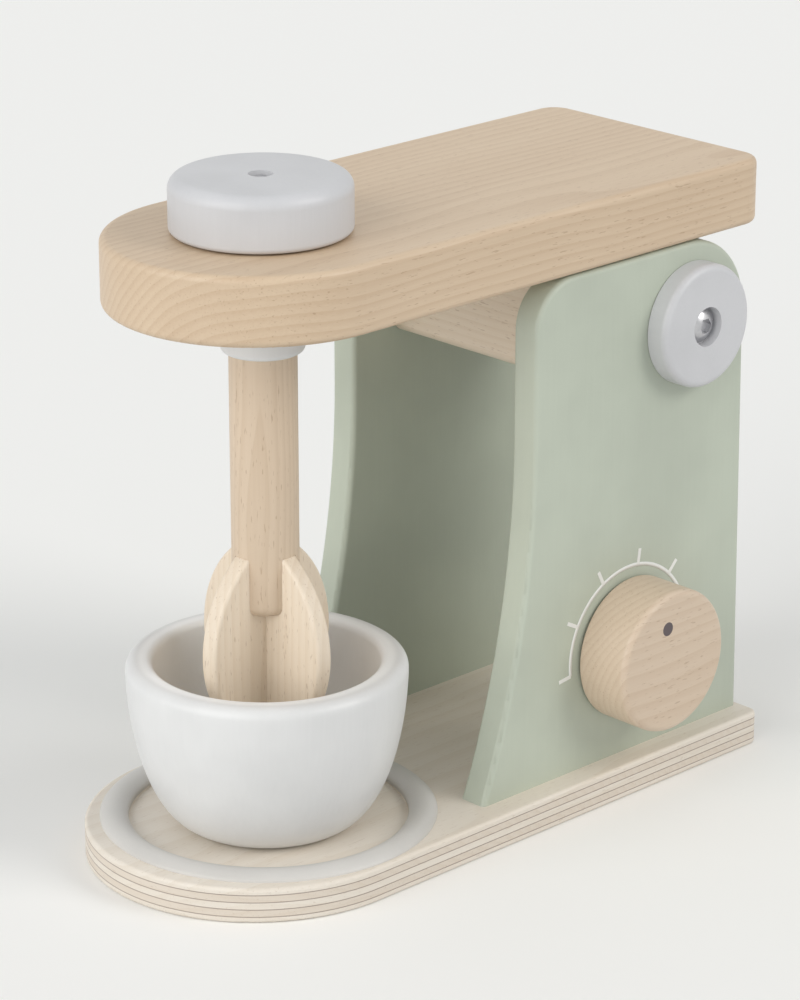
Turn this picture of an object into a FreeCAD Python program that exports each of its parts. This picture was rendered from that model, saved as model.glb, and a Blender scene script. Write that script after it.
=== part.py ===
import FreeCAD, Part
import math
import os

from FreeCAD import Vector

# Toy stand mixer of wood, in millimetres.
# X runs along the base: the bowl end is at -X and the back is at +X.
# Y runs across it: the dial is on the -Y side.
# Z is up. The origin is the middle of the base's underside.

# Base board: straight sides, a half-round bowl end, a shallow seat for the bowl
base_length = 200.0
base_width = 95.0
base_thickness = 10.0
base_back_corner = 3.0
base_edge_round = 1.0
seat_depth = 1.5

# The ring round the bowl's seat is let into a groove in the base
ring_inner_radius = 38.3
ring_outer_radius = 46.2
ring_groove_depth = 1.0
ring_shoulder = 0.3
ring_proud = 2.2

# The bowl, the whisk and the knob share one upright axis
whisk_x = -49.0

# Bowl: a flat foot, walls that follow a quarter of an ellipse, a rounded lip
bowl_radius = 38.4
bowl_foot_radius = 20.0
bowl_rim_z = 55.6
bowl_mouth_radius = 30.6
bowl_floor_radius = 9.0
bowl_floor_z = 15.5
lip_outer_round = 3.2
lip_inner_round = 2.2

# Side panels: they flare towards the foot, and the top back corner is a round about the pivot
panel_outer_y = 40.0
panel_thickness = 9.0
panel_foot_front_x = -6.0
panel_foot_back_x = 98.2
panel_front_x = 13.0
panel_flare_top_z = 110.0
panel_front_corner = 14.0
panel_edge_round = 1.5

# The pivot that the arm tilts on
pivot_x = 73.7
pivot_z = 132.0
pivot_corner_radius = 22.8

# Arm board: half-round over the bowl, square at the back with rounded corners
arm_back_x = 103.0
arm_width = 82.0
arm_length = 194.4
arm_underside_z = 155.3
arm_thickness = 18.9
arm_back_corner = 7.0
arm_edge_round = 2.0

# Hinge block under the arm, between the panels
block_front_x = 28.0
block_side_y = 30.0
block_drop = 8.5
block_knuckle_radius = 14.0
block_front_round = 3.0

# White discs on the outside of the panels, with the bolt heads sunk in them
disc_radius = 17.5
disc_thickness = 6.7
disc_edge_round = 2.0
head_pocket_radius = 5.6
head_pocket_depth = 3.4
head_radius = 4.9
head_edge_height = 0.8
head_height = 2.8
hex_across_flats = 4.0
hex_depth = 1.8
sleeve_radius = 4.5
sleeve_end_y = -36.0
bolt_radius = 3.0
bolt_tip_y = -8.0
bolt_end_room = 1.0
washer_radius = 9.0
washer_thickness = 0.8

# Shaft through the arm, with the knob above and a collar below
shaft_radius = 9.1
shaft_socket_depth = 9.0
shaft_end_z = 69.5
shaft_end_round = 3.0
knob_radius = 24.2
knob_height = 15.0
knob_top_round = 3.6
knob_bottom_round = 1.5
knob_gap = 0.4
knob_pocket_radius = 3.3
knob_pocket_depth = 3.0
collar_radius = 11.2
collar_height = 13.0
collar_edge_round = 1.5

# Whisk: two egg-shaped plates, half lapped, let into the slotted end of the shaft
whisk_rest_turn = 3.0
plate_thickness = 5.2
plate_half_width = 22.0
plate_widest_z = 60.0
plate_top_z = 86.0
plate_tip_z = 31.5
plate_tip_radius = 9.0
plate_edge_round = 1.0

# Dial on the -Y panel
dial_x = 51.3
dial_z = 42.0
dial_radius = 20.6
dial_thickness = 17.0
dial_edge_round = 1.8
dial_back_round = 0.8
dial_gap = 0.5
dial_axle_radius = 5.0
dial_axle_socket = 10.0
retainer_radius = 11.0
retainer_thickness = 5.0
retainer_round = 1.0
pointer_radius = 2.0
pointer_depth = 3.0
pointer_reach = 11.0
pointer_turn = 16.0

# Fixings and small things that several pieces share
running_clearance = 0.08
small_round = 0.4
cutter_spare = 1.0
screw_radius = 2.0
screw_head_radius = 4.0
screw_head_height = 2.4
screw_head_sink = 0.3
screw_tip_length = 3.0
screw_cross_reach = 2.4
screw_cross_width = 1.0
screw_cross_depth = 1.2
panel_screw_reach = 24.0
panel_screw_inset = 18.0
dowel_radius = 3.0
dowel_in_base = 7.0
dowel_in_panel = 14.0
dowel_inset = 36.0
block_screw_x = (40.0, 56.0)
block_screw_reach = 13.0
knob_screw_radius = 1.8
knob_screw_reach = 16.0
knob_screw_head_radius = 3.0
knob_screw_head_height = 1.8
knob_screw_head_low_round = 0.2
knob_screw_head_round = 0.8
knob_screw_slot_width = 0.8
knob_screw_slot_depth = 0.8

# Places worked out from the sizes above
panel_inner_y = panel_outer_y - panel_thickness
panel_middle_y = panel_outer_y - panel_thickness / 2
panel_top_z = pivot_z + pivot_corner_radius
arm_top_z = arm_underside_z + arm_thickness
knob_underside_z = arm_top_z + knob_gap
knob_top_z = knob_underside_z + knob_height
shaft_top_z = knob_underside_z + shaft_socket_depth
seat_z = base_thickness - seat_depth
ring_top_z = base_thickness + ring_proud
disc_outer_y = panel_outer_y + disc_thickness
dial_back_y = -panel_outer_y - dial_gap
dial_face_y = dial_back_y - dial_thickness
block_underside_z = pivot_z - block_drop
side_names = {"dial_side": -1, "plain_side": 1}

UP = Vector(0, 0, 1)
ACROSS = Vector(0, 1, 0)


def upright_cylinder(radius, x, y, z_low, z_high):
    return Part.makeCylinder(radius, z_high - z_low, Vector(x, y, z_low), UP)


def cross_cylinder(radius, x, z, y_low, y_high):
    return Part.makeCylinder(radius, y_high - y_low, Vector(x, y_low, z), ACROSS)


def block(x_low, x_high, y_low, y_high, z_low, z_high):
    corner = Vector(x_low, y_low, z_low)
    return Part.makeBox(x_high - x_low, y_high - y_low, z_high - z_low, corner)


def line(start, end):
    return Part.LineSegment(start, end).toShape()


def arc(start, middle, end):
    return Part.Arc(start, middle, end).toShape()


def on_circle(centre, radius, degrees):
    """Point on a circle in the XZ plane, with degrees counted from +X towards +Z."""
    angle = math.radians(degrees)
    return centre + Vector(radius * math.cos(angle), 0, radius * math.sin(angle))


def circle_arc(centre, radius, start_degrees, end_degrees):
    middle = (start_degrees + end_degrees) / 2
    return arc(on_circle(centre, radius, start_degrees),
               on_circle(centre, radius, middle),
               on_circle(centre, radius, end_degrees))


def turned(edges):
    """Solid of revolution about Z from edges in the XZ half plane."""
    return Part.Face(Part.Wire(edges)).revolve(Vector(0, 0, 0), UP, 360)


def turned_disc(radius, height, low_round, high_round):
    """Disc standing on Z = 0 with its two rims rounded."""
    low_centre = Vector(radius - low_round, 0, low_round)
    high_centre = Vector(radius - high_round, 0, height - high_round)
    bottom = Vector(low_centre.x, 0, 0)
    top = Vector(high_centre.x, 0, height)
    edges = [line(Vector(0, 0, 0), bottom),
             circle_arc(low_centre, low_round, -90, 0),
             line(Vector(radius, 0, low_round), Vector(radius, 0, height - high_round)),
             circle_arc(high_centre, high_round, 0, 90),
             line(top, Vector(0, 0, height)),
             line(Vector(0, 0, height), Vector(0, 0, 0))]
    return turned(edges)


def lay_towards(shape, side):
    """Turn a piece made along +Z so that it points along +Y (side 1) or -Y (side -1)."""
    turned_piece = shape.copy()
    turned_piece.rotate(Vector(0, 0, 0), Vector(1, 0, 0), -90 * side)
    return turned_piece


def moved(shape, x, y, z):
    placed = shape.copy()
    placed.translate(Vector(x, y, z))
    return placed


def edges_at(shape, test):
    """Edges whose every sampled point passes the test."""
    found = []
    for edge in shape.Edges:
        points = edge.discretize(5)
        if all(test(point) for point in points):
            found.append(edge)
    return found


def near(value, target):
    return abs(value - target) < 0.001


def board_outline(front, back, width, corner, z):
    """Plan of a board with a half-round front end and rounded back corners."""
    half_width = width / 2
    arc_x = front + half_width
    slant = corner * (1 - math.sqrt(0.5))
    return [
        line(Vector(arc_x, -half_width, z), Vector(back - corner, -half_width, z)),
        arc(Vector(back - corner, -half_width, z),
            Vector(back - slant, -half_width + slant, z),
            Vector(back, -half_width + corner, z)),
        line(Vector(back, -half_width + corner, z), Vector(back, half_width - corner, z)),
        arc(Vector(back, half_width - corner, z),
            Vector(back - slant, half_width - slant, z),
            Vector(back - corner, half_width, z)),
        line(Vector(back - corner, half_width, z), Vector(arc_x, half_width, z)),
        arc(Vector(arc_x, half_width, z), Vector(front, 0, z), Vector(arc_x, -half_width, z))]


def panel_outline():
    """Side view of a panel, from the front foot up, over and down the back."""
    pivot = Vector(pivot_x, 0, pivot_z)
    foot_front = Vector(panel_foot_front_x, 0, base_thickness)
    foot_back = Vector(panel_foot_back_x, 0, base_thickness)
    flare_top = Vector(panel_front_x, 0, panel_flare_top_z)

    spread = panel_front_x - panel_foot_front_x
    rise = panel_flare_top_z - base_thickness
    flare_radius = (spread ** 2 + rise ** 2) / (2 * spread)
    flare_centre = Vector(panel_front_x - flare_radius, 0, panel_flare_top_z)
    foot_angle = -math.degrees(math.asin(rise / flare_radius))

    corner = panel_front_corner
    corner_centre = Vector(panel_front_x + corner, 0, panel_top_z - corner)

    to_foot = foot_back - pivot
    foot_direction = math.degrees(math.atan2(to_foot.z, to_foot.x))
    tangent_angle = foot_direction + math.degrees(math.acos(pivot_corner_radius / to_foot.Length))
    back_tangent = on_circle(pivot, pivot_corner_radius, tangent_angle)

    return [
        circle_arc(flare_centre, flare_radius, foot_angle, 0),
        line(flare_top, on_circle(corner_centre, corner, 180)),
        circle_arc(corner_centre, corner, 180, 90),
        line(on_circle(corner_centre, corner, 90), on_circle(pivot, pivot_corner_radius, 90)),
        circle_arc(pivot, pivot_corner_radius, 90, tangent_angle),
        line(back_tangent, foot_back),
        line(foot_back, foot_front)]


def screw_form(length):
    """Countersunk wood screw that points along +Z from its head's face at Z = 0."""
    neck_z = screw_head_height
    tip_z = length - screw_tip_length
    edges = [line(Vector(0, 0, 0), Vector(screw_head_radius, 0, 0)),
             line(Vector(screw_head_radius, 0, 0), Vector(screw_radius, 0, neck_z)),
             line(Vector(screw_radius, 0, neck_z), Vector(screw_radius, 0, tip_z)),
             line(Vector(screw_radius, 0, tip_z), Vector(0, 0, length)),
             line(Vector(0, 0, length), Vector(0, 0, 0))]
    return turned(edges)


def countersunk_screw(length):
    """The screw with the cross for the driver in its head."""
    half = screw_cross_width / 2
    reach = screw_cross_reach
    cross = block(-reach, reach, -half, half, 0, screw_cross_depth)
    cross = cross.fuse(block(-half, half, -reach, reach, 0, screw_cross_depth))
    return screw_form(length).cut(cross)


def screw_space(length):
    """Hole for the screw, with the sink that its head lies in."""
    sink = upright_cylinder(screw_head_radius, 0, 0, -screw_head_sink, 0)
    return sink.fuse(screw_form(length))


def panel_screw_places():
    xs = (panel_foot_front_x + panel_screw_inset, panel_foot_back_x - panel_screw_inset)
    return [(x, side * panel_middle_y) for side in side_names.values() for x in xs]


def dowel_places():
    xs = (panel_foot_front_x + dowel_inset, panel_foot_back_x - dowel_inset)
    return [(x, side * panel_middle_y) for side in side_names.values() for x in xs]


def panel_dowels():
    low = base_thickness - dowel_in_base
    high = base_thickness + dowel_in_panel
    return [upright_cylinder(dowel_radius, x, y, low, high) for x, y in dowel_places()]


def panel_screw_length():
    return base_thickness - screw_head_sink + panel_screw_reach


def panel_screws():
    screw = countersunk_screw(panel_screw_length())
    return [moved(screw, x, y, screw_head_sink) for x, y in panel_screw_places()]


def base_board():
    outline = board_outline(-base_length / 2, base_length / 2, base_width, base_back_corner, 0)
    board = Part.Face(Part.Wire(outline)).extrude(Vector(0, 0, base_thickness))
    rims = edges_at(board, lambda p: near(p.z, 0) or near(p.z, base_thickness))
    board = board.makeFillet(base_edge_round, rims)
    seat = upright_cylinder(ring_inner_radius, whisk_x, 0, seat_z, base_thickness)
    groove_z = base_thickness - ring_groove_depth
    groove = upright_cylinder(ring_outer_radius, whisk_x, 0, groove_z, base_thickness)
    board = board.cut(seat).cut(groove)
    room = screw_space(panel_screw_length())
    for x, y in panel_screw_places():
        board = board.cut(moved(room, x, y, screw_head_sink))
    for dowel in panel_dowels():
        board = board.cut(dowel)
    return board


def bowl_ring():
    """White ring with a domed top, open in the middle."""
    low = base_thickness - ring_groove_depth
    inner = ring_inner_radius
    outer = ring_outer_radius
    shoulder = base_thickness + ring_shoulder
    crown = Vector((inner + outer) / 2, 0, ring_top_z)
    edges = [line(Vector(inner, 0, low), Vector(outer, 0, low)),
             line(Vector(outer, 0, low), Vector(outer, 0, shoulder)),
             arc(Vector(outer, 0, shoulder), crown, Vector(inner, 0, shoulder)),
             line(Vector(inner, 0, shoulder), Vector(inner, 0, low))]
    return moved(turned(edges), whisk_x, 0, 0)


def side_panel(side):
    """Panel with its outer face at panel_outer_y on the given side."""
    outer_face = Part.Face(Part.Wire(panel_outline()))
    panel = outer_face.extrude(Vector(0, panel_thickness, 0))
    panel = moved(panel, 0, panel_inner_y if side > 0 else -panel_outer_y, 0)
    faces_y = (side * panel_inner_y, side * panel_outer_y)
    rims = edges_at(panel, lambda p: near(p.y, faces_y[0]) or near(p.y, faces_y[1]))
    rims = [edge for edge in rims if not near(edge.BoundBox.ZMax, base_thickness)]
    panel = panel.makeFillet(panel_edge_round, rims)
    low, high = sorted(faces_y)
    panel = panel.cut(cross_cylinder(sleeve_radius, pivot_x, pivot_z, low, high))
    room = screw_form(panel_screw_length())
    for x, y in panel_screw_places():
        panel = panel.cut(moved(room, x, y, screw_head_sink))
    for dowel in panel_dowels():
        panel = panel.cut(dowel)
    if side < 0:
        axle_hole = dial_axle_radius + running_clearance
        panel = panel.cut(cross_cylinder(axle_hole, dial_x, dial_z, low, high))
    return panel


def pivot_disc(side):
    disc = turned_disc(disc_radius, disc_thickness, small_round, disc_edge_round)
    pocket_z = disc_thickness - head_pocket_depth
    disc = disc.cut(upright_cylinder(head_pocket_radius, 0, 0, pocket_z, disc_thickness))
    disc = disc.cut(upright_cylinder(sleeve_radius, 0, 0, 0, pocket_z))
    return moved(lay_towards(disc, side), pivot_x, side * panel_outer_y, pivot_z)


def button_head():
    """Domed bolt head on Z = 0 with a hexagon socket in its crown."""
    dome_height = head_height - head_edge_height
    dome_radius = (head_radius ** 2 + dome_height ** 2) / (2 * dome_height)
    dome_centre = Vector(0, 0, head_height - dome_radius)
    edge_angle = math.degrees(math.acos(head_radius / dome_radius))
    edges = [line(Vector(0, 0, 0), Vector(head_radius, 0, 0)),
             line(Vector(head_radius, 0, 0), Vector(head_radius, 0, head_edge_height)),
             circle_arc(dome_centre, dome_radius, edge_angle, 90),
             line(Vector(0, 0, head_height), Vector(0, 0, 0))]
    head = turned(edges)
    corner_radius = hex_across_flats / math.sqrt(3)
    corners = []
    for index in range(7):
        angle = math.radians(60 * index)
        corners.append(Vector(corner_radius * math.cos(angle), corner_radius * math.sin(angle),
                              head_height - hex_depth))
    socket = Part.Face(Part.makePolygon(corners)).extrude(Vector(0, 0, head_height))
    return head.cut(socket)


def pivot_bolt():
    """Bolt from the -Y side, screwed into the sleeve nut."""
    seat_y = -(disc_outer_y - head_pocket_depth)
    head = moved(lay_towards(button_head(), -1), pivot_x, seat_y, pivot_z)
    shank = cross_cylinder(bolt_radius, pivot_x, pivot_z, seat_y, bolt_tip_y)
    return head.fuse(shank).removeSplitter()


def pivot_sleeve_nut():
    """Sleeve nut from the +Y side: the tube that the arm's block turns on."""
    seat_y = disc_outer_y - head_pocket_depth
    head = moved(lay_towards(button_head(), 1), pivot_x, seat_y, pivot_z)
    tube = cross_cylinder(sleeve_radius, pivot_x, pivot_z, sleeve_end_y, seat_y)
    thread = cross_cylinder(bolt_radius, pivot_x, pivot_z, sleeve_end_y,
                            bolt_tip_y + bolt_end_room)
    return head.fuse(tube).cut(thread).removeSplitter()


def pivot_washers():
    """Thin plastic washers between the block and the two panels."""
    washers = []
    for side in side_names.values():
        ends = sorted((side * panel_inner_y, side * (panel_inner_y - washer_thickness)))
        washer = cross_cylinder(washer_radius, pivot_x, pivot_z, *ends)
        washers.append(washer.cut(cross_cylinder(sleeve_radius, pivot_x, pivot_z, *ends)))
    return washers


def hinge_block():
    """Block under the arm: square in front, round about the pivot behind."""
    y = -block_side_y
    front = block_front_x
    low = block_underside_z
    round_off = block_front_round
    front_centre = Vector(front + round_off, y, low + round_off)
    pivot = Vector(pivot_x, y, pivot_z)
    knuckle_start = -math.degrees(math.acos(block_drop / block_knuckle_radius)) - 90
    underside_end = on_circle(pivot, block_knuckle_radius, knuckle_start)
    knuckle_back = on_circle(pivot, block_knuckle_radius, 0)
    top_back = Vector(knuckle_back.x, y, arm_underside_z)
    top_front = Vector(front, y, arm_underside_z)
    edges = [line(top_front, on_circle(front_centre, round_off, 180)),
             circle_arc(front_centre, round_off, 180, 270),
             line(on_circle(front_centre, round_off, 270), underside_end),
             circle_arc(pivot, block_knuckle_radius, knuckle_start, 0),
             line(knuckle_back, top_back),
             line(top_back, top_front)]
    body = Part.Face(Part.Wire(edges)).extrude(Vector(0, 2 * block_side_y, 0))
    bore = sleeve_radius + running_clearance
    body = body.cut(cross_cylinder(bore, pivot_x, pivot_z, -block_side_y, block_side_y))
    room = screw_space(block_screw_length())
    for x in block_screw_x:
        body = body.cut(moved(room, x, 0, block_underside_z + screw_head_sink))
    return body


def block_screw_length():
    return arm_underside_z - block_underside_z - screw_head_sink + block_screw_reach


def block_screws():
    screw = countersunk_screw(block_screw_length())
    return [moved(screw, x, 0, block_underside_z + screw_head_sink) for x in block_screw_x]


def arm_board():
    arm_front_x = arm_back_x - arm_length
    outline = board_outline(arm_front_x, arm_back_x, arm_width, arm_back_corner, arm_underside_z)
    board = Part.Face(Part.Wire(outline)).extrude(Vector(0, 0, arm_thickness))
    rims = edges_at(board, lambda p: near(p.z, arm_underside_z) or near(p.z, arm_top_z))
    board = board.makeFillet(arm_edge_round, rims)
    bore = shaft_radius + running_clearance
    board = board.cut(upright_cylinder(bore, whisk_x, 0, arm_underside_z, arm_top_z))
    room = screw_form(block_screw_length())
    for x in block_screw_x:
        board = board.cut(moved(room, x, 0, block_underside_z + screw_head_sink))
    return board


def egg_face():
    """Half-lapped plate seen from its side: a round tip, full sides, shoulders at the shaft."""
    tip_centre = Vector(0, 0, plate_tip_z + plate_tip_radius)
    drop = plate_widest_z - tip_centre.z
    side_radius = ((plate_half_width ** 2 + drop ** 2 - plate_tip_radius ** 2)
                   / (2 * (plate_half_width - plate_tip_radius)))
    side_centre = Vector(plate_half_width - side_radius, 0, plate_widest_z)
    to_tip = tip_centre - side_centre
    join_angle = math.degrees(math.atan2(to_tip.z, to_tip.x))

    rise = plate_top_z - plate_widest_z
    narrowing = plate_half_width - shaft_radius
    shoulder_radius = (rise ** 2 + narrowing ** 2) / (2 * narrowing)
    shoulder_centre = Vector(plate_half_width - shoulder_radius, 0, plate_widest_z)
    shoulder_angle = math.degrees(math.asin(rise / shoulder_radius))

    right_side = [circle_arc(side_centre, side_radius, join_angle, 0),
                  circle_arc(shoulder_centre, shoulder_radius, 0, shoulder_angle)]
    left_side = []
    for edge in right_side:
        left_side.append(edge.mirror(Vector(0, 0, 0), Vector(1, 0, 0)))
    tip = arc(on_circle(tip_centre, plate_tip_radius, join_angle),
              on_circle(tip_centre, plate_tip_radius, -90),
              on_circle(tip_centre, plate_tip_radius, 180 - join_angle))
    top = line(Vector(-shaft_radius, 0, plate_top_z), Vector(shaft_radius, 0, plate_top_z))
    edges = Part.sortEdges([tip, top] + right_side + left_side)[0]
    return Part.Face(Part.Wire(edges))


def whisk_plate(turn, slot_from_top):
    """One plate of the whisk, with the slot that its partner slides into."""
    half = plate_thickness / 2
    plate = moved(egg_face(), 0, -half, 0).extrude(Vector(0, plate_thickness, 0))
    rims = edges_at(plate, lambda p: near(abs(p.y), half))
    rims = [edge for edge in rims if not near(edge.BoundBox.ZMin, plate_top_z)]
    plate = plate.makeFillet(plate_edge_round, rims)
    middle_z = (plate_top_z + plate_tip_z) / 2
    if slot_from_top:
        slot = block(-half, half, -half, half, middle_z, plate_top_z + cutter_spare)
    else:
        slot = block(-half, half, -half, half, plate_tip_z - cutter_spare, middle_z)
    plate = plate.cut(slot)
    plate.rotate(Vector(0, 0, 0), UP, whisk_rest_turn + turn)
    return moved(plate, whisk_x, 0, 0)


def whisk_shaft():
    """Dowel from the knob down to the whisk, with a cross slot and a rounded lower end."""
    length = shaft_top_z - shaft_end_z
    dowel = turned_disc(shaft_radius, length, shaft_end_round, small_round)
    half = plate_thickness / 2
    reach = shaft_radius + cutter_spare
    slot_height = plate_top_z - shaft_end_z
    slots = block(-reach, reach, -half, half, -cutter_spare, slot_height)
    slots = slots.fuse(block(-half, half, -reach, reach, -cutter_spare, slot_height))
    slots.rotate(Vector(0, 0, 0), UP, whisk_rest_turn)
    dowel = moved(dowel.cut(slots), whisk_x, 0, shaft_end_z)
    return dowel.cut(knob_screw())


def knob_screw():
    """Pan-headed screw from the knob's pocket down into the shaft."""
    seat = knob_top_z - knob_pocket_depth
    head = turned_disc(knob_screw_head_radius, knob_screw_head_height,
                       knob_screw_head_low_round, knob_screw_head_round)
    half = knob_screw_slot_width / 2
    slot_z = knob_screw_head_height - knob_screw_slot_depth
    slot = block(-knob_screw_head_radius, knob_screw_head_radius, -half, half,
                 slot_z, knob_screw_head_height)
    shank = upright_cylinder(knob_screw_radius, 0, 0, -knob_screw_reach, 0)
    return moved(head.cut(slot).fuse(shank), whisk_x, 0, seat)


def top_knob():
    knob = turned_disc(knob_radius, knob_height, knob_bottom_round, knob_top_round)
    knob = knob.cut(upright_cylinder(shaft_radius, 0, 0, 0, shaft_socket_depth))
    pocket_z = knob_height - knob_pocket_depth
    knob = knob.cut(upright_cylinder(knob_pocket_radius, 0, 0, pocket_z, knob_height))
    knob = knob.cut(upright_cylinder(knob_screw_radius, 0, 0, shaft_socket_depth, pocket_z))
    return moved(knob, whisk_x, 0, knob_underside_z)


def under_arm_collar():
    collar = turned_disc(collar_radius, collar_height, collar_edge_round, small_round)
    collar = collar.cut(upright_cylinder(shaft_radius, 0, 0, 0, collar_height))
    return moved(collar, whisk_x, 0, arm_underside_z - knob_gap - collar_height)


def quarter_ellipse(centre, half_width, height):
    """Quarter of an upright ellipse, between its widest and its lowest point."""
    top = centre + Vector(0, 0, height)
    side = centre + Vector(half_width, 0, 0)
    return Part.Ellipse(top, side, centre).toShape(math.pi / 2, math.pi)


def bowl_edge(shell, radius):
    """Edge of the lip's flat top at the given radius."""
    def on_edge(point):
        return near(point.z, bowl_rim_z) and near(math.hypot(point.x, point.y), radius)
    return edges_at(shell, on_edge)


def bowl():
    """Turned bowl, made as its outer form less its hollow, with the lip rounded after."""
    height = bowl_rim_z - seat_z
    outer = quarter_ellipse(Vector(bowl_foot_radius, 0, bowl_rim_z),
                            bowl_radius - bowl_foot_radius, height)
    form = turned([line(Vector(0, 0, seat_z), Vector(bowl_foot_radius, 0, seat_z)),
                   outer,
                   line(Vector(bowl_radius, 0, bowl_rim_z), Vector(0, 0, bowl_rim_z)),
                   line(Vector(0, 0, bowl_rim_z), Vector(0, 0, seat_z))])
    inner = quarter_ellipse(Vector(bowl_floor_radius, 0, bowl_rim_z),
                            bowl_mouth_radius - bowl_floor_radius, bowl_rim_z - bowl_floor_z)
    hollow = turned([line(Vector(0, 0, bowl_floor_z), Vector(bowl_floor_radius, 0, bowl_floor_z)),
                     inner,
                     line(Vector(bowl_mouth_radius, 0, bowl_rim_z), Vector(0, 0, bowl_rim_z)),
                     line(Vector(0, 0, bowl_rim_z), Vector(0, 0, bowl_floor_z))])
    shell = form.cut(hollow)
    shell = shell.makeFillet(lip_outer_round, bowl_edge(shell, bowl_radius))
    shell = shell.makeFillet(lip_inner_round, bowl_edge(shell, bowl_mouth_radius))
    return moved(shell, whisk_x, 0, 0)


def pointer_offset():
    angle = math.radians(90 + pointer_turn)
    return pointer_reach * math.cos(angle), pointer_reach * math.sin(angle)


def dial_knob():
    knob = turned_disc(dial_radius, dial_thickness, dial_back_round, dial_edge_round)
    knob = knob.cut(upright_cylinder(dial_axle_radius, 0, 0, 0, dial_axle_socket))
    knob = moved(lay_towards(knob, -1), dial_x, dial_back_y, dial_z)
    return knob.cut(dial_pointer())


def dial_pointer():
    """Small peg let in flush with the dial's face."""
    x, z = pointer_offset()
    return cross_cylinder(pointer_radius, dial_x + x, dial_z + z, dial_face_y,
                          dial_face_y + pointer_depth)


def dial_axle():
    inner_end = -panel_inner_y + dial_gap + retainer_thickness
    return cross_cylinder(dial_axle_radius, dial_x, dial_z, dial_back_y - dial_axle_socket, inner_end)


def dial_retainer():
    """Wooden disc glued on the axle's end, behind the panel."""
    disc = turned_disc(retainer_radius, retainer_thickness, small_round, retainer_round)
    disc = disc.cut(upright_cylinder(dial_axle_radius, 0, 0, 0, retainer_thickness))
    return moved(lay_towards(disc, 1), dial_x, -panel_inner_y + dial_gap, dial_z)


def nodes():
    pieces = {
        "base_board": base_board(),
        "bowl_ring": bowl_ring(),
        "panel_dowels": panel_dowels(),
        "panel_screws": panel_screws(),
        "pivot_bolt": pivot_bolt(),
        "pivot_sleeve_nut": pivot_sleeve_nut(),
        "pivot_washers": pivot_washers(),
        "arm_board": arm_board(),
        "hinge_block": hinge_block(),
        "block_screws": block_screws(),
        "top_knob": top_knob(),
        "knob_screw": knob_screw(),
        "under_arm_collar": under_arm_collar(),
        "whisk_shaft": whisk_shaft(),
        "whisk_plate_upper_slot": whisk_plate(0, True),
        "whisk_plate_lower_slot": whisk_plate(90, False),
        "bowl": bowl(),
        "dial_knob": dial_knob(),
        "dial_pointer": dial_pointer(),
        "dial_axle": dial_axle(),
        "dial_retainer": dial_retainer()}
    for name, side in side_names.items():
        pieces[name + "_panel"] = side_panel(side)
        pieces[name + "_pivot_disc"] = pivot_disc(side)
    return pieces


os.makedirs("parts", exist_ok=True)
for node, solids in nodes().items():
    if isinstance(solids, list):
        solids = Part.makeCompound(solids)
    solids.exportStep("parts/" + node + ".step")
    bounds = solids.BoundBox
    print("%-24s solids %d  volume %8.0f mm3  x %.1f..%.1f  y %.1f..%.1f  z %.1f..%.1f" % (
        node, len(solids.Solids), solids.Volume, bounds.XMin, bounds.XMax,
        bounds.YMin, bounds.YMax, bounds.ZMin, bounds.ZMax))
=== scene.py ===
# %% [markdown]
# This lesson dresses a wooden toy stand mixer. A flared stand of two painted panels carries an arm
# of pale wood. Under the arm hangs a whisk of two crossed plates, and a turned bowl stands below it.
# The exact pieces already exist as solids, so most of the work is finish: paint, wood, plywood, steel.
# We start by loading those solids and keeping the box that they fill.

# %% The pieces of the mixer
import math

import bpy
from mathutils import Matrix, Vector


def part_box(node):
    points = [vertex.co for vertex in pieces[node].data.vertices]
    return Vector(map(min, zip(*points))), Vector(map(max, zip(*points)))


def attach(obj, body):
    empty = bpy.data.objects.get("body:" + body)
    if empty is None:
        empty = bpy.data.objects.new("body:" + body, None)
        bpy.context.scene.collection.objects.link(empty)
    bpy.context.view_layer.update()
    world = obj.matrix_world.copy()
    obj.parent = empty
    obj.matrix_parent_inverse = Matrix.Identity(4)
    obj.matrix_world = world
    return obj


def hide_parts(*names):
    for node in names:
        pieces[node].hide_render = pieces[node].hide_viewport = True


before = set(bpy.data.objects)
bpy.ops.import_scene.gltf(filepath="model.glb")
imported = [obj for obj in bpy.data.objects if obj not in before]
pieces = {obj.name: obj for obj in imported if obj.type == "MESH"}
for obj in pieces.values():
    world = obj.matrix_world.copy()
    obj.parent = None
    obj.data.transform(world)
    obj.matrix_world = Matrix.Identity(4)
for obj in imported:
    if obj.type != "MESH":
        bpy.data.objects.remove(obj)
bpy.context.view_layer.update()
MM = 0.001


# %% [markdown]
# Materials are written as sums, so that a wood grain reads like the recipe that it is.
# A Tone wraps one output of a node. A sum with a Tone in it adds the Math node that does the sum.
# A Recipe is one material: its method `node` makes any other node from its type, its settings and
# the values or links of its sockets.

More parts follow.
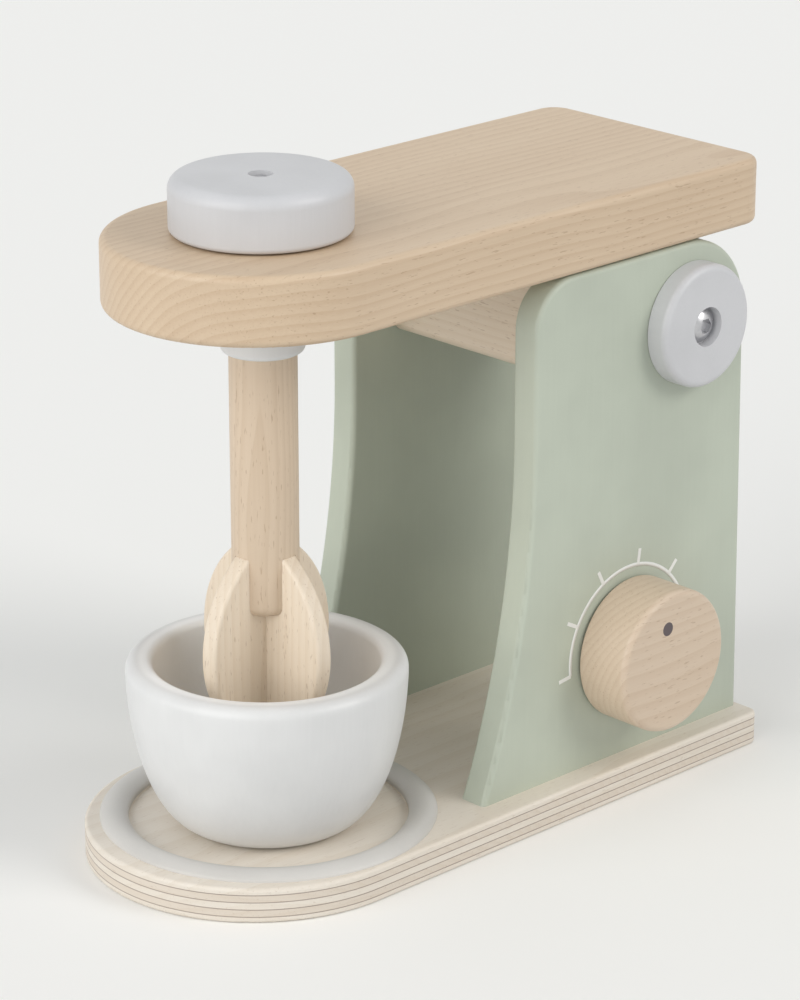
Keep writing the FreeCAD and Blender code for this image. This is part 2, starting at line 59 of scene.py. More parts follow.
# %% Shader maths as plain expressions
class Tone:
    """An output of a shader node that takes part in sums like a number."""

    def __init__(self, recipe, socket):
        self.recipe = recipe
        self.socket = socket

    def sum_with(self, operation, first, second=0.0):
        return self.recipe.node("ShaderNodeMath", {"operation": operation}, {0: first, 1: second})

    def __add__(self, other):
        return self.sum_with("ADD", self, other)

    def __radd__(self, other):
        return self.sum_with("ADD", other, self)

    def __sub__(self, other):
        return self.sum_with("SUBTRACT", self, other)

    def __rsub__(self, other):
        return self.sum_with("SUBTRACT", other, self)

    def __mul__(self, other):
        return self.sum_with("MULTIPLY", self, other)

    def __rmul__(self, other):
        return self.sum_with("MULTIPLY", other, self)

    def __truediv__(self, other):
        return self.sum_with("DIVIDE", self, other)

    def __rtruediv__(self, other):
        return self.sum_with("DIVIDE", other, self)

    def __mod__(self, other):
        return self.sum_with("FLOORED_MODULO", self, other)

    def __pow__(self, other):
        return self.sum_with("POWER", self, other)

    def floor(self):
        return self.sum_with("FLOOR", self)

    def abs(self):
        return self.sum_with("ABSOLUTE", self)

    def rise(self, low, high):
        """0 below low, 1 above high and a soft step between."""
        return self.recipe.node("ShaderNodeMapRange", {"interpolation_type": "SMOOTHSTEP"},
                                {"Value": self, "From Min": low, "From Max": high})


class Recipe:
    """One material and the nodes that make it."""

    def __init__(self, name):
        self.material = bpy.data.materials.new(name)
        self.material.use_nodes = True
        self.tree = self.material.node_tree
        self.surface = self.tree.nodes["Principled BSDF"]

    def plug(self, socket, value):
        if isinstance(value, Tone):
            self.tree.links.new(value.socket, socket)
        else:
            socket.default_value = value

    def node(self, kind, settings=None, sockets=None, output=0):
        made = self.tree.nodes.new(kind)
        for setting, value in (settings or {}).items():
            setattr(made, setting, value)
        for socket, value in (sockets or {}).items():
            self.plug(made.inputs[socket], value)
        return Tone(self, made.outputs[output])

    def mix(self, amount, first, second):
        return self.node("ShaderNodeMix", {"data_type": "RGBA"}, {0: amount, 6: first, 7: second}, 2)

    def scaled(self, vector, factors):
        return self.node("ShaderNodeVectorMath", {"operation": "MULTIPLY"}, {0: vector, 1: factors})

    def shifted(self, vector, offset):
        return self.node("ShaderNodeVectorMath", {"operation": "ADD"}, {0: vector, 1: offset})

    def spot(self):
        """The point's place in Object coordinates."""
        return self.node("ShaderNodeTexCoord", output="Object")

    def noise(self, vector, detail=2.0, roughness=0.5):
        return self.node("ShaderNodeTexNoise", None,
                         {"Vector": vector, "Scale": 1.0, "Detail": detail, "Roughness": roughness})

    def parts(self, vector):
        made = self.node("ShaderNodeSeparateXYZ", None, {0: vector})
        return [Tone(self, output) for output in made.socket.node.outputs]

    def joined(self, x, y, z):
        return self.node("ShaderNodeCombineXYZ", None, {0: x, 1: y, 2: z})

    def bump(self, height, depth):
        """Relief: height runs from about 0 to 1, and depth is how far that is in metres."""
        made = self.node("ShaderNodeBump", None, {"Height": height, "Distance": depth, "Strength": 1.0})
        self.tree.links.new(made.socket, self.surface.inputs["Normal"])

    def finish(self, **values):
        for name, value in values.items():
            self.plug(self.surface.inputs[name.replace("_", " ").title()], value)
        print("finish:", self.material.name, "nodes:", len(self.tree.nodes))
        return self.material


def paint_colour(red, green, blue):
    """A colour named by its 0 to 255 screen values, as the linear numbers that a shader takes."""
    linear = []
    for value in (red, green, blue):
        share = value / 255
        linear.append(share / 12.92 if share <= 0.04045 else ((share + 0.055) / 1.055) ** 2.4)
    return (*linear, 1.0)


# %% [markdown]
# The arm, shaft, dial and whisk are a pale hardwood such as beech. Real wood is a solid with rings
# round a pith, so we colour it as a solid: one set of sums gives long lines on the faces, arcs on the
# end grain, and the fine dark flecks of beech. The same sums serve every piece once its own grain
# direction is turned onto the first axis.

# %% Wood as a solid with rings, fibres and flecks
WOOD_RELIEF = 0.05 * MM
FLECK_BROWN = paint_colour(150, 114, 82)


def grain_frame(recipe, along, pith):
    """Object coordinates with the grain on the first axis, measured from the pith of the log."""
    x, y, z = recipe.parts(recipe.spot())
    order = {"x": (x, y, z), "y": (y, z, x), "z": (z, x, y)}[along]
    return recipe.shifted(recipe.joined(*order), pith)


def wood_tones(recipe, place, ring_gap):
    """Rings, fibres, flecks and slow drift of colour, each from 0 to 1."""
    sway = recipe.noise(recipe.scaled(place, (7.0, 22.0, 22.0)), 2.0)
    along, across, deep = recipe.parts(place)
    reach = (across * across + deep * deep) ** 0.5 + (sway - 0.5) * (4.5 * ring_gap)
    ring = (reach / ring_gap) % 1.0
    ring = ring.rise(0.25, 0.97) * (1.0 - ring.rise(0.97, 1.0))
    fibre = recipe.noise(recipe.scaled(place, (45.0, 1500.0, 1500.0)), 3.0, 0.6)
    fleck = recipe.noise(recipe.scaled(place, (330.0, 2300.0, 2300.0)), 1.0).rise(0.66, 0.74)
    drift = recipe.noise(recipe.scaled(place, (9.0, 45.0, 45.0)), 2.0)
    return ring, fibre, fleck, drift


def natural_wood(name, along, pith, ring_gap=2.6 * MM, pale=(218, 196, 168), deep=(189, 159, 127)):
    """Wood whose grain runs along one axis, with colours between its pale and its deep tone."""
    recipe = Recipe(name)
    place = grain_frame(recipe, along, pith)
    ring, fibre, fleck, drift = wood_tones(recipe, place, ring_gap)
    depth = ring * 0.24 + fibre * 0.34 + drift * 0.46 - 0.14
    colour = recipe.mix(depth, paint_colour(*pale), paint_colour(*deep))
    colour = recipe.mix(fleck * 0.36, colour, FLECK_BROWN)
    recipe.bump(fibre * 0.8 + ring * 0.3 - fleck * 0.5, WOOD_RELIEF)
    return recipe.finish(Base_Color=colour, Roughness=0.5 + fibre * 0.16 - drift * 0.08,
                         Coat_Weight=0.4, Coat_Roughness=0.38)


arm_wood = natural_wood("arm wood", "x", (0.0, 0.043, -0.118))
dowel_wood = natural_wood("axle wood", "y", (0.0, -0.044, -0.0505), 1.6 * MM)

# %% Paler wood for the turned and the small pieces
SAPWOOD = {"pale": (237, 223, 204), "deep": (217, 197, 170)}
SHAFT_TONES = {"pale": (219, 199, 175), "deep": (194, 170, 142)}
DIAL_TONES = {"pale": (219, 200, 178), "deep": (196, 170, 143)}
block_wood = natural_wood("hinge block wood", "y", (0.02, -0.10, -0.03), **SAPWOOD)
shaft_wood = natural_wood("shaft wood", "z", (0.0, 0.070, 0.016), 1.9 * MM, **SHAFT_TONES)
dial_wood = natural_wood("dial wood", "x", (0.0, 0.095, -0.014), 2.1 * MM, **DIAL_TONES)
plate_wood = natural_wood("whisk plate wood", "z", (0.0, 0.020, 0.055), 2.2 * MM, **SAPWOOD)

# %% [markdown]
# The base board is plywood of five plies. Its top shows one face veneer, and its edge shows every ply:
# the grain of each runs across its neighbour's, so long grain and darker end grain alternate, with a
# thin line of glue between them. The ply that a point is in comes from its height alone.

# %% Plywood whose edge shows its plies
PLIES_PER_METRE = 480.0
SANDED_SHARE = 0.10
VENEER_PALE = paint_colour(234, 226, 214)
VENEER_DEEP = paint_colour(216, 202, 183)
END_GRAIN = paint_colour(196, 176, 156)
VENEER_FLECK = paint_colour(164, 136, 108)
GLUE = paint_colour(128, 108, 98)


def plywood(name):
    """Plies counted from the height: the lowest one has lost a tenth of its thickness to sanding."""
    recipe = Recipe(name)
    lengthways = grain_frame(recipe, "x", (0.0, 0.012, 0.062))
    crossways = grain_frame(recipe, "y", (0.0, 0.05, 0.035))
    above_floor = recipe.parts(recipe.spot())[2]
    height = above_floor * PLIES_PER_METRE + SANDED_SHARE
    ply = height.floor()
    odd = ply % 2.0
    shift = recipe.joined(ply * 0.031, ply * 0.017, ply * 0.023)
    long_tones = wood_tones(recipe, recipe.shifted(lengthways, shift), 3.4 * MM)
    cross_tones = wood_tones(recipe, recipe.shifted(crossways, shift), 2.6 * MM)
    ring, fibre, fleck, drift = [a * (1.0 - odd) + b * odd for a, b in zip(long_tones, cross_tones)]
    depth = ring * 0.22 + fibre * 0.30 + drift * 0.36 - 0.14
    colour = recipe.mix(depth, VENEER_PALE, VENEER_DEEP)
    colour = recipe.mix(odd * 0.28, colour, END_GRAIN)
    colour = recipe.mix(fleck * 0.22, colour, VENEER_FLECK)
    glue = 1.0 - ((height + 0.5) % 1.0 - 0.5).abs().rise(0.035, 0.095)
    colour = recipe.mix(glue * 0.7, colour, GLUE)
    recipe.bump(fibre * 0.8 - fleck * 0.5 - odd * 0.5 - glue * 0.8, WOOD_RELIEF)
    return recipe.finish(Base_Color=colour, Roughness=0.56 + fibre * 0.14 + odd * 0.08,
                         Coat_Weight=0.3, Coat_Roughness=0.4)


board_wood = plywood("plywood")

# %% [markdown]
# The panels and the turned pieces are painted. Spray paint on a toy is satin, a little uneven, and
# the grain of the wood below still shows in it as the faintest relief. The bowl's inner wall and floor
# are painted lighter than its outer wall: painted light that brightens its shaded hollow. The change
# lies on its lip. It comes from one sum on the point's place: how far out it is in radii of the mouth,
# and how far down in depths of the bowl.

# %% Satin paint on wood
BOWL_MOUTH = 30.6 * MM
BOWL_FLOOR = 15.5 * MM
PAINT_RELIEF = 0.035 * MM


def painted_light_inside(recipe):
    """A factor on the colour that paints light into the bowl's shaded hollow: above 1 on its inner wall
    and floor, and 1 on its outer wall.
    """
    low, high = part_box("bowl")
    x, y, z = recipe.parts(recipe.spot())
    out_x = (x - (low.x + high.x) / 2) / BOWL_MOUTH
    out_y = (y - (low.y + high.y) / 2) / BOWL_MOUTH
    down = (high.z - z) / (high.z - BOWL_FLOOR)
    outside = (out_x * out_x + out_y * out_y + down * down).rise(1.2, 1.36)
    # painted light: the inner wall and floor come out a fifth lighter than the outer wall
    return 1.0 + (1.0 - outside) * 0.2


def satin_paint(name, colour, along, roughness, factor=None):
    """Paint over grain that runs along one axis; factor makes a factor on its colour."""
    recipe = Recipe(name)
    place = grain_frame(recipe, along, (0.0, 0.0, 0.0))
    grain = recipe.noise(recipe.scaled(place, (40.0, 900.0, 900.0)), 3.0, 0.6)
    peel = recipe.noise(recipe.scaled(place, (900.0, 900.0, 900.0)), 2.0)
    cloud = recipe.noise(recipe.scaled(place, (26.0, 26.0, 26.0)), 3.0)
    lighter = tuple(min(1.0, part * 1.06) for part in colour[:3]) + (1.0,)
    darker = tuple(part * 0.91 for part in colour[:3]) + (1.0,)
    tint = recipe.mix(cloud.rise(0.3, 0.7) * 0.7 + grain * 0.3, darker, lighter)
    if factor:
        tint = recipe.scaled(tint, factor(recipe))
    recipe.bump(grain * 0.7 + peel * 0.5, PAINT_RELIEF)
    return recipe.finish(Base_Color=tint, Roughness=roughness + cloud * 0.10 - peel * 0.05)


SAGE = paint_colour(190, 197, 181)
WHITE = paint_colour(224, 224, 223)
RING_WHITE = paint_colour(208, 205, 200)
DISC_WHITE = paint_colour(205, 205, 207)
POINTER_GREY = paint_colour(92, 82, 84)
PRINT_WHITE = paint_colour(236, 236, 231)
panel_paint = satin_paint("sage green paint", SAGE, "z", 0.42)
# the bowl's paint is painted lighter inside, as painted light in its shaded hollow
bowl_paint = satin_paint("white paint on the bowl", WHITE, "z", 0.36, painted_light_inside)
ring_paint = satin_paint("off-white paint on the ring", RING_WHITE, "z", 0.4)
collar_paint = satin_paint("white paint on the collar", WHITE, "z", 0.36)
knob_paint = satin_paint("white paint on the knob", DISC_WHITE, "z", 0.36)
disc_paint = satin_paint("white paint on the pivot discs", DISC_WHITE, "y", 0.36)
pointer_paint = satin_paint("dark pointer paint", POINTER_GREY, "y", 0.45)
scale_paint = satin_paint("printed dial scale", PRINT_WHITE, "x", 0.5)

# %% [markdown]
# The fixings are steel with a bright zinc plate: slightly cloudy, with fine turning marks.
# The thin washers are plain white plastic.

# %% Steel and plastic
def zinc_plate(name):
    recipe = Recipe(name)
    spot = recipe.spot()
    cloud = recipe.noise(recipe.scaled(spot, (700.0, 700.0, 700.0)), 3.0)
    scratch = recipe.noise(recipe.scaled(spot, (4000.0, 900.0, 4000.0)), 2.0)
    tint = recipe.mix(cloud, paint_colour(176, 176, 180), paint_colour(214, 214, 216))
    recipe.bump(scratch, 0.01 * MM)
    return recipe.finish(Base_Color=tint, Metallic=1.0, Roughness=0.24 + cloud * 0.16)


def washer_plastic(name):
    recipe = Recipe(name)
    spot = recipe.spot()
    speckle = recipe.noise(recipe.scaled(spot, (1800.0, 1800.0, 1800.0)), 2.0)
    tint = recipe.mix(speckle, paint_colour(214, 214, 210), paint_colour(226, 226, 222))
    recipe.bump(speckle, 0.02 * MM)
    return recipe.finish(Base_Color=tint, Roughness=0.5 + speckle * 0.1)


steel = zinc_plate("zinc plated steel")
nylon = washer_plastic("white nylon")

# %% [markdown]
# Each solid now takes its finish. The bowl and the ring are dressed too, although finer shapes in the
# same finishes stand in for them below.

# %% Finishes of the solids
FINISHES = {
    board_wood: ["base_board"],
    arm_wood: ["arm_board"],
    block_wood: ["hinge_block"],
    shaft_wood: ["whisk_shaft"],
    plate_wood: ["whisk_plate_upper_slot", "whisk_plate_lower_slot"],
    dial_wood: ["dial_knob", "dial_retainer"],
    dowel_wood: ["dial_axle", "panel_dowels"],
    panel_paint: ["dial_side_panel", "plain_side_panel"],
    bowl_paint: ["bowl"],
    ring_paint: ["bowl_ring"],
    collar_paint: ["under_arm_collar"],
    knob_paint: ["top_knob"],
    disc_paint: ["dial_side_pivot_disc", "plain_side_pivot_disc"],
    pointer_paint: ["dial_pointer"],
    steel: ["panel_screws", "block_screws", "knob_screw", "pivot_bolt", "pivot_sleeve_nut"],
    nylon: ["pivot_washers"]}
for material, names in FINISHES.items():
    for name in names:
        pieces[name].data.materials.clear()
        pieces[name].data.materials.append(material)
print("dressed:", sum(len(names) for names in FINISHES.values()), "of", len(pieces))


# %% [markdown]
# Some pieces get meshes of their own from Geometry Nodes. A tree is a plan with named inputs: it is
# built once and gives a new piece for each set of sizes. A small class holds what all trees share:
# adding nodes, sums, and the ending that makes instances real and sets the finish.

# %% A short way to write a Geometry Nodes tree
class Plan:
    """A Geometry Nodes tree that ends as one plain piece in one finish."""

    def __init__(self, name, inputs):
        self.tree = bpy.data.node_groups.new(name, "GeometryNodeTree")
        for title, kind in inputs.items():
            self.tree.interface.new_socket(title, in_out="INPUT", socket_type="NodeSocket" + kind)
        self.tree.interface.new_socket("Geometry", in_out="OUTPUT", socket_type="NodeSocketGeometry")
        self.given = self.node("NodeGroupInput").outputs

    def node(self, kind, settings=None, sockets=None):
        made = self.tree.nodes.new(kind)
        for setting, value in (settings or {}).items():
            setattr(made, setting, value)
        for socket, value in (sockets or {}).items():
            if hasattr(value, "is_output"):
                self.tree.links.new(value, made.inputs[socket])
            else:
                made.inputs[socket].default_value = value
        return made

    def maths(self, operation, first, second=0.0):
        return self.node("ShaderNodeMath", {"operation": operation}, {0: first, 1: second}).outputs[0]

    def spot(self):
        """The three parts of each point's place."""
        place = self.node("GeometryNodeInputPosition").outputs[0]
        return self.node("ShaderNodeSeparateXYZ", None, {0: place}).outputs

    def joined(self, x, y, z):
        return self.node("ShaderNodeCombineXYZ", None, {0: x, 1: y, 2: z}).outputs[0]

    def finish(self, geometry):
        whole = self.node("GeometryNodeRealizeInstances", None, {0: geometry})
        coated = self.node("GeometryNodeSetMaterial", None,
                           {"Geometry": whole.outputs[0], "Material": self.given["Finish"]})
        self.node("NodeGroupOutput", None, {0: coated.outputs[0]})
        print("tree:", self.tree.name, "nodes:", len(self.tree.nodes))
        return self.tree


# %% [markdown]
# The bowl is turned on a lathe, and so is its shape here: a profile is swept round the axis.
# Geometry Nodes do it with a grid: each column of the grid is one point of the profile, and each row
# is one step of the turn. The same tree turns any profile, so the white ring uses it too.

# %% A lathe in Geometry Nodes
def lathe_tree():
    plan = Plan("lathe", {"Profile": "Object", "Steps round": "Int", "Finish": "Material"})
    source = plan.node("GeometryNodeObjectInfo", None, {"Object": plan.given["Profile"]})
    outline = source.outputs["Geometry"]
    count = plan.node("GeometryNodeAttributeDomainSize", {"component": "CURVE"}, {0: outline})
    columns = count.outputs["Point Count"]
    rows = plan.maths("ADD", plan.given["Steps round"], 1.0)
    grid = plan.node("GeometryNodeMeshGrid", None,
                     {"Size X": 1.0, "Size Y": 1.0, "Vertices X": columns, "Vertices Y": rows})
    along, round_axis = plan.spot()[:2]
    share = plan.maths("ADD", along, 0.5)
    column = plan.maths("MULTIPLY", share, plan.maths("SUBTRACT", columns, 1.0))
    whole = plan.node("FunctionNodeFloatToInt", {"rounding_mode": "ROUND"}, {0: column})
    turn = plan.maths("MULTIPLY", plan.maths("ADD", round_axis, 0.5), 2 * math.pi)
    point = plan.node("GeometryNodeSampleIndex", {"data_type": "FLOAT_VECTOR", "domain": "POINT"},
                      {"Geometry": outline, "Value": plan.node("GeometryNodeInputPosition").outputs[0],
                       "Index": whole.outputs[0]})
    out = plan.node("ShaderNodeSeparateXYZ", None, {0: point.outputs[0]}).outputs
    x = plan.maths("MULTIPLY", out[0], plan.maths("COSINE", turn))
    y = plan.maths("MULTIPLY", out[0], plan.maths("SINE", turn))
    turned = plan.node("GeometryNodeSetPosition", None,
                       {"Geometry": grid.outputs["Mesh"], "Position": plan.joined(x, y, out[2])})
    closed = plan.node("GeometryNodeMergeByDistance", None,
                       {"Geometry": turned.outputs[0], "Distance": 0.01 * MM})
    smooth = plan.node("GeometryNodeSetShadeSmooth", None, {0: closed.outputs[0]})
    return plan.finish(smooth.outputs[0])


LATHE = lathe_tree()

# %% From a tree to a turned piece
TURN_STEPS = 192


def made_by(tree, name, inputs, place):
    """The mesh that a Geometry Nodes tree makes, as a plain piece with its place in its points."""
    seed = bpy.data.objects.new(name + "_seed", bpy.data.meshes.new(name + "_seed"))
    bpy.context.scene.collection.objects.link(seed)
    modifier = seed.modifiers.new("made", "NODES")
    modifier.node_group = tree
    for socket in tree.interface.items_tree:
        if socket.in_out == "INPUT" and socket.name in inputs:
            modifier[socket.identifier] = inputs[socket.name]
    bpy.context.view_layer.update()
    ready = seed.evaluated_get(bpy.context.evaluated_depsgraph_get())
    mesh = bpy.data.meshes.new_from_object(ready)
    mesh.transform(place)
    seed.modifiers.clear()
    bpy.data.objects.remove(seed)
    piece = bpy.data.objects.new(name, mesh)
    bpy.context.scene.collection.objects.link(piece)
    return piece


def turned_piece(name, profile, finish, place):
    """Sweep a list of (radius, height) points round the axis that place carries."""
    curve = bpy.data.curves.new(name + "_profile", "CURVE")
    curve.dimensions = "3D"
    spline = curve.splines.new("POLY")
    spline.points.add(len(profile) - 1)
    for point, (radius, height) in zip(spline.points, profile):
        point.co = (radius, 0.0, height, 1.0)
    outline = bpy.data.objects.new(name + "_profile", curve)
    bpy.context.scene.collection.objects.link(outline)
    inputs = {"Profile": outline, "Steps round": TURN_STEPS, "Finish": finish}
    piece = made_by(LATHE, name, inputs, place)
    bpy.data.objects.remove(outline)
    print(name, "faces:", len(piece.data.polygons))
    return piece


def corner_arc(centre, radius, start, end, steps):
    """Points of a round corner, with angles in degrees from straight out towards up."""
    points = []
    for step in range(steps):
        angle = math.radians(start + (end - start) * step / (steps - 1))
        points.append((centre[0] + radius * math.cos(angle), centre[1] + radius * math.sin(angle)))
    return points


# %% [markdown]
# The bowl's wall follows a quarter of an ellipse outside and another inside, and a thick round lip
# joins them. Its place, width and height are read from the solid that it stands for. The radii of
# its foot, well and mouth, the height of its floor and the lip's two radii are the same as there.
# A tenth of a millimetre of ease keeps the lip's arcs clear of the walls' ends.

# %% The turned bowl
FOOT = 20.0 * MM
WELL = 9.0 * MM
LIP_OUTSIDE = 3.2 * MM
LIP_INSIDE = 2.2 * MM
LIP_EASE = 0.1 * MM


def wall_points(foot, half_width, rim_z, height, start, end, steps):
    """Points on the lower quarter of an ellipse, from angle start to angle end."""
    points = []
    for step in range(steps):
        angle = math.radians(start + (end - start) * step / (steps - 1))
        points.append((foot + half_width * math.cos(angle), rim_z + height * math.sin(angle)))
    return points


def bowl_profile(low, rim, radius):
    """(radius, height) points from the middle of the underside, over the lip, to the floor's middle."""
    outer = wall_points(FOOT, radius - FOOT, rim, rim - low, -88, -5.5, 34)
    outside_centre = (radius - LIP_OUTSIDE - LIP_EASE, rim - LIP_OUTSIDE)
    inside_centre = (BOWL_MOUTH + LIP_INSIDE + LIP_EASE, rim - LIP_INSIDE)
    lip = corner_arc(outside_centre, LIP_OUTSIDE, 0, 90, 10)
    lip += corner_arc(inside_centre, LIP_INSIDE, 90, 180, 9)
    inner = wall_points(WELL, BOWL_MOUTH - WELL, rim, rim - BOWL_FLOOR, -5.0, -88, 34)
    start = [(0.0, low), (FOOT - 1.2 * MM, low), (FOOT - 0.3 * MM, low + 0.15 * MM)]
    return start + outer + lip + inner + [(0.0, BOWL_FLOOR)]


def bowl():
    low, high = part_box("bowl")
    radius = (high.x - low.x) / 2
    centre = ((low.x + high.x) / 2, (low.y + high.y) / 2)
    profile = bowl_profile(low.z, high.z, radius)
    place = Matrix.Translation((centre[0], centre[1], 0.0))
    piece = turned_piece("turned_bowl", profile, bowl_paint, place)
    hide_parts("bowl")
    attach(piece, "bowl")


bowl()

# %% [markdown]
# The white ring round the bowl's seat is turned too. Its crown is one shallow arc between two short
# upright sides, so two sizes and the box of its solid are all that the profile needs.

# %% The ring round the seat
RING_WIDTH = 7.9 * MM
RING_SHOULDER = 1.3 * MM
CROWN_STEPS = 14


def crown_points(inner, outer, shoulder, top):
    """Points of the shallow arc over the ring, from its outer side to its inner side."""
    half = (outer - inner) / 2
    rise = top - shoulder
    radius = (half * half + rise * rise) / (2 * rise)
    reach = math.degrees(math.asin(half / radius))
    centre = ((inner + outer) / 2, top - radius)
    return corner_arc(centre, radius, 90 - reach, 90 + reach, CROWN_STEPS)


def seat_ring():
    low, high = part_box("bowl_ring")
    outer = (high.y - low.y) / 2
    inner = outer - RING_WIDTH
    crown = crown_points(inner, outer, low.z + RING_SHOULDER, high.z)
    profile = [(inner, low.z), (outer, low.z), *crown, (inner, low.z)]
    place = Matrix.Translation(((low.x + high.x) / 2, (low.y + high.y) / 2, 0.0))
    piece = turned_piece("turned_ring", profile, ring_paint, place)
    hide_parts("bowl_ring")
    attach(piece, "frame")


seat_ring()

# %% [markdown]
# Round the dial the panel carries a printed white arc with a few marks. A print has no thickness
# that the eye sees, so the arc and the marks are thin films. The marks' film is a little thicker, so
# that no two faces lie in one plane where they meet. The marks repeat along an arc, so Geometry Nodes
# place them: a short bar is copied onto evenly spaced points, and the arc itself is a flat ribbon.

# %% The printed scale round the dial
def scale_tree():
    plan = Plan("dial scale", {"Radius": "Float", "Mark length": "Float", "Line width": "Float",
                               "Line film": "Float", "Mark film": "Float", "Start angle": "Float",
                               "Sweep angle": "Float", "Marks": "Int", "Finish": "Material"})
    want = plan.given
    ends = {"Radius": want["Radius"], "Start Angle": want["Start angle"],
            "Sweep Angle": want["Sweep angle"]}
    path = plan.node("GeometryNodeCurveArc", {"mode": "RADIUS"}, {**ends, "Resolution": 96})
    section = plan.node("GeometryNodeCurvePrimitiveQuadrilateral", None,
                        {"Width": want["Line width"], "Height": want["Line film"]})
    swept = {"Curve": path.outputs[0], "Profile Curve": section.outputs[0], "Fill Caps": True}
    ribbon = plan.node("GeometryNodeCurveToMesh", None, swept)
    spaced = {**ends, "Resolution": want["Marks"]}
    mark_path = plan.node("GeometryNodeCurveArc", {"mode": "RADIUS"}, spaced)
    places = plan.node("GeometryNodeCurveToPoints", {"mode": "EVALUATED"}, {0: mark_path.outputs[0]})
    size = plan.joined(want["Mark length"], want["Line width"], want["Mark film"])
    bar = plan.node("GeometryNodeMeshCube", None, {"Size": size})
    outwards = plan.joined(plan.maths("MULTIPLY", want["Mark length"], 0.5), 0.0, 0.0)
    bar_out = plan.node("GeometryNodeTransform", None,
                        {"Geometry": bar.outputs["Mesh"], "Translation": outwards})
    spot = plan.spot()
    facing = plan.joined(0.0, 0.0, plan.maths("ARCTAN2", spot[1], spot[0]))
    marks = plan.node("GeometryNodeInstanceOnPoints", None,
                      {"Points": places.outputs[0], "Instance": bar_out.outputs[0], "Rotation": facing})
    both = plan.node("GeometryNodeJoinGeometry")
    plan.tree.links.new(ribbon.outputs[0], both.inputs[0])
    plan.tree.links.new(marks.outputs[0], both.inputs[0])
    return plan.finish(both.outputs[0])


def dial_scale():
    low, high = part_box("dial_knob")
    panel_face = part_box("dial_side_panel")[0].y
    film = 0.12 * MM
    sunk = 0.4 * film
    centre = Vector(((low.x + high.x) / 2, panel_face - sunk, (low.z + high.z) / 2))
    place = Matrix.Translation(centre) @ Matrix.Rotation(math.radians(90), 4, "X")
    inputs = {"Radius": 23.6 * MM, "Mark length": 4.6 * MM, "Line width": 1.1 * MM, "Line film": film,
              "Mark film": 0.16 * MM, "Start angle": math.radians(12),
              "Sweep angle": math.radians(175), "Marks": 6, "Finish": scale_paint}
    piece = made_by(scale_tree(), "dial_scale_print", inputs, place)
    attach(piece, "frame")
    print("dial scale faces:", len(piece.data.polygons))


dial_scale()

# %% [markdown]
# The toy stands on a plain pale floor in soft light. A large lamp high on the right is the key, as
# the shadows of the picture ask, a lower one on the left lights the front edges, and a pale sky fills
# the rest. The light stays at a level where a colour comes out about as it was mixed.

# %% A plain pale floor
FLOOR_REACH = 8.0
FLOOR_LIT = paint_colour(226, 226, 225)
FLOOR_SEEN = paint_colour(250, 249, 246)


def floor():
    """A matt floor that bounces a little less light onto the toy than it shows to the camera."""
    recipe = Recipe("pale floor")
    rays = recipe.node("ShaderNodeLightPath").socket.node.outputs
    looked_at = {0: Tone(recipe, rays["Is Camera Ray"]), 1: Tone(recipe, rays["Is Glossy Ray"])}
    seen = recipe.node("ShaderNodeMath", {"operation": "MAXIMUM"}, looked_at)
    recipe.surface.inputs["Specular IOR Level"].default_value = 0.0
    recipe.finish(Base_Color=recipe.mix(seen, FLOOR_LIT, FLOOR_SEEN), Roughness=1.0)
    mesh = bpy.data.meshes.new("floor")
    corners = [(-FLOOR_REACH, -FLOOR_REACH, 0), (FLOOR_REACH, -FLOOR_REACH, 0),
               (FLOOR_REACH, FLOOR_REACH, 0), (-FLOOR_REACH, FLOOR_REACH, 0)]
    mesh.from_pydata(corners, [], [(0, 1, 2, 3)])
    mesh.materials.append(recipe.material)
    piece = bpy.data.objects.new("floor", mesh)
    bpy.context.scene.collection.objects.link(piece)


floor()

# %% Sky and lamps
SKY_LIGHT = (0.94, 0.97, 1.0, 1.0)
SKY_SEEN = (0.85, 0.855, 0.84, 1.0)


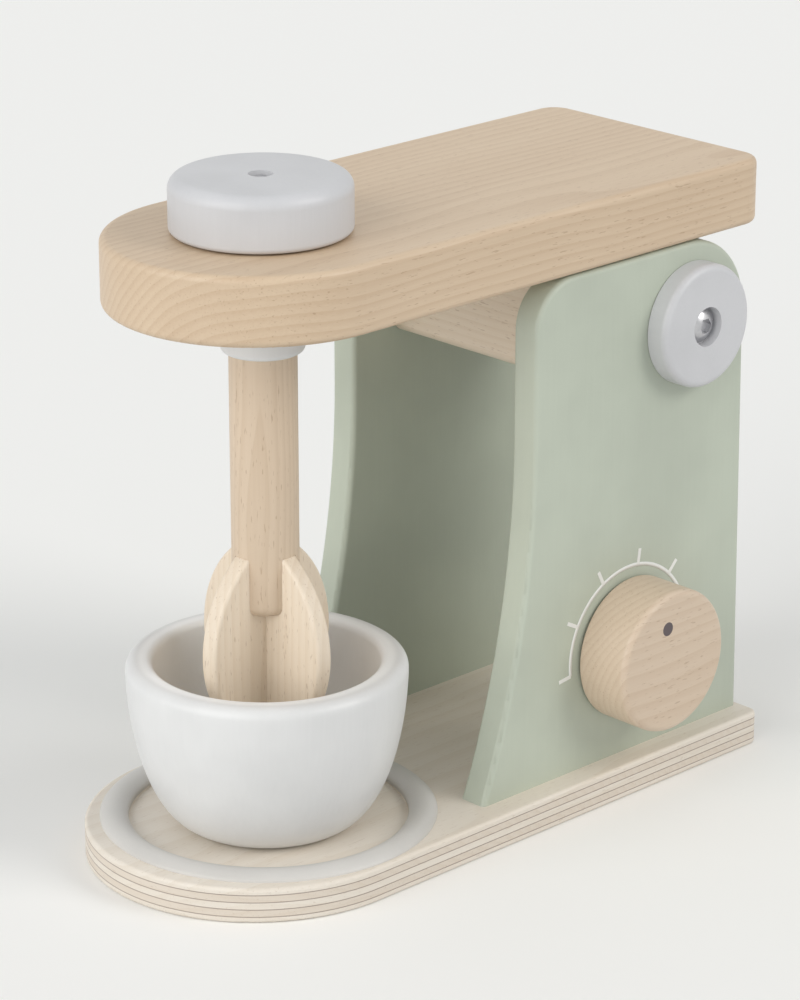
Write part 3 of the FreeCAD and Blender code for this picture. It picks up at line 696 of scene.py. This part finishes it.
def sky(strength):
    """A world that lights the toy at the given strength and looks as pale as the floor does."""
    world = bpy.data.worlds.new("pale studio")
    bpy.context.scene.world = world
    world.use_nodes = True
    nodes = world.node_tree.nodes
    links = world.node_tree.links
    light = nodes["Background"]
    light.inputs["Color"].default_value = SKY_LIGHT
    light.inputs["Strength"].default_value = strength
    seen = nodes.new("ShaderNodeBackground")
    seen.inputs["Color"].default_value = SKY_SEEN
    path = nodes.new("ShaderNodeLightPath")
    mixed = nodes.new("ShaderNodeMixShader")
    looked_at = nodes.new("ShaderNodeMath")
    looked_at.operation = "MAXIMUM"
    links.new(path.outputs["Is Camera Ray"], looked_at.inputs[0])
    links.new(path.outputs["Is Glossy Ray"], looked_at.inputs[1])
    links.new(looked_at.outputs[0], mixed.inputs[0])
    links.new(light.outputs[0], mixed.inputs[1])
    links.new(seen.outputs[0], mixed.inputs[2])
    links.new(mixed.outputs[0], nodes["World Output"].inputs["Surface"])


def soft_sun(name, direction, strength, spread, colour):
    """A lamp far away on the side that direction points to, with shadows as soft as its spread."""
    data = bpy.data.lights.new(name, "SUN")
    data.energy = strength
    data.angle = math.radians(spread)
    data.color = colour
    light = bpy.data.objects.new(name, data)
    light.rotation_euler = Vector(direction).to_track_quat("Z", "Y").to_euler()
    bpy.context.scene.collection.objects.link(light)


sky(0.56)
soft_sun("key lamp", (0.45, -0.85, 0.62), strength=1.0, spread=30, colour=(1.0, 0.98, 0.95))
soft_sun("left fill", (-1.0, 0.02, 0.34), strength=1.85, spread=60, colour=(1.0, 0.99, 0.97))
print("lamps:", [light.name for light in bpy.data.lights])

# %% The camera
TOY_MIDDLE = Vector((-0.002, -0.003, 0.089))


def camera(side_angle, height_angle, distance, lens):
    """A camera that looks at the middle of the toy, turned from its dial side towards its bowl."""
    data = bpy.data.cameras.new("picture camera")
    data.sensor_fit = "VERTICAL"
    data.sensor_height = 36.0
    data.lens = lens
    eye = bpy.data.objects.new("picture camera", data)
    side = math.radians(side_angle)
    height = math.radians(height_angle)
    level = math.cos(height)
    away = Vector((-math.sin(side) * level, -math.cos(side) * level, math.sin(height)))
    eye.location = TOY_MIDDLE + away * distance
    eye.rotation_euler = away.to_track_quat("Z", "Y").to_euler()
    bpy.context.scene.collection.objects.link(eye)
    bpy.context.scene.camera = eye


camera(side_angle=44, height_angle=20, distance=1.05, lens=138.0)
bpy.context.scene.view_settings.view_transform = "Standard"
print("camera at:", [round(part, 3) for part in bpy.context.scene.camera.location])
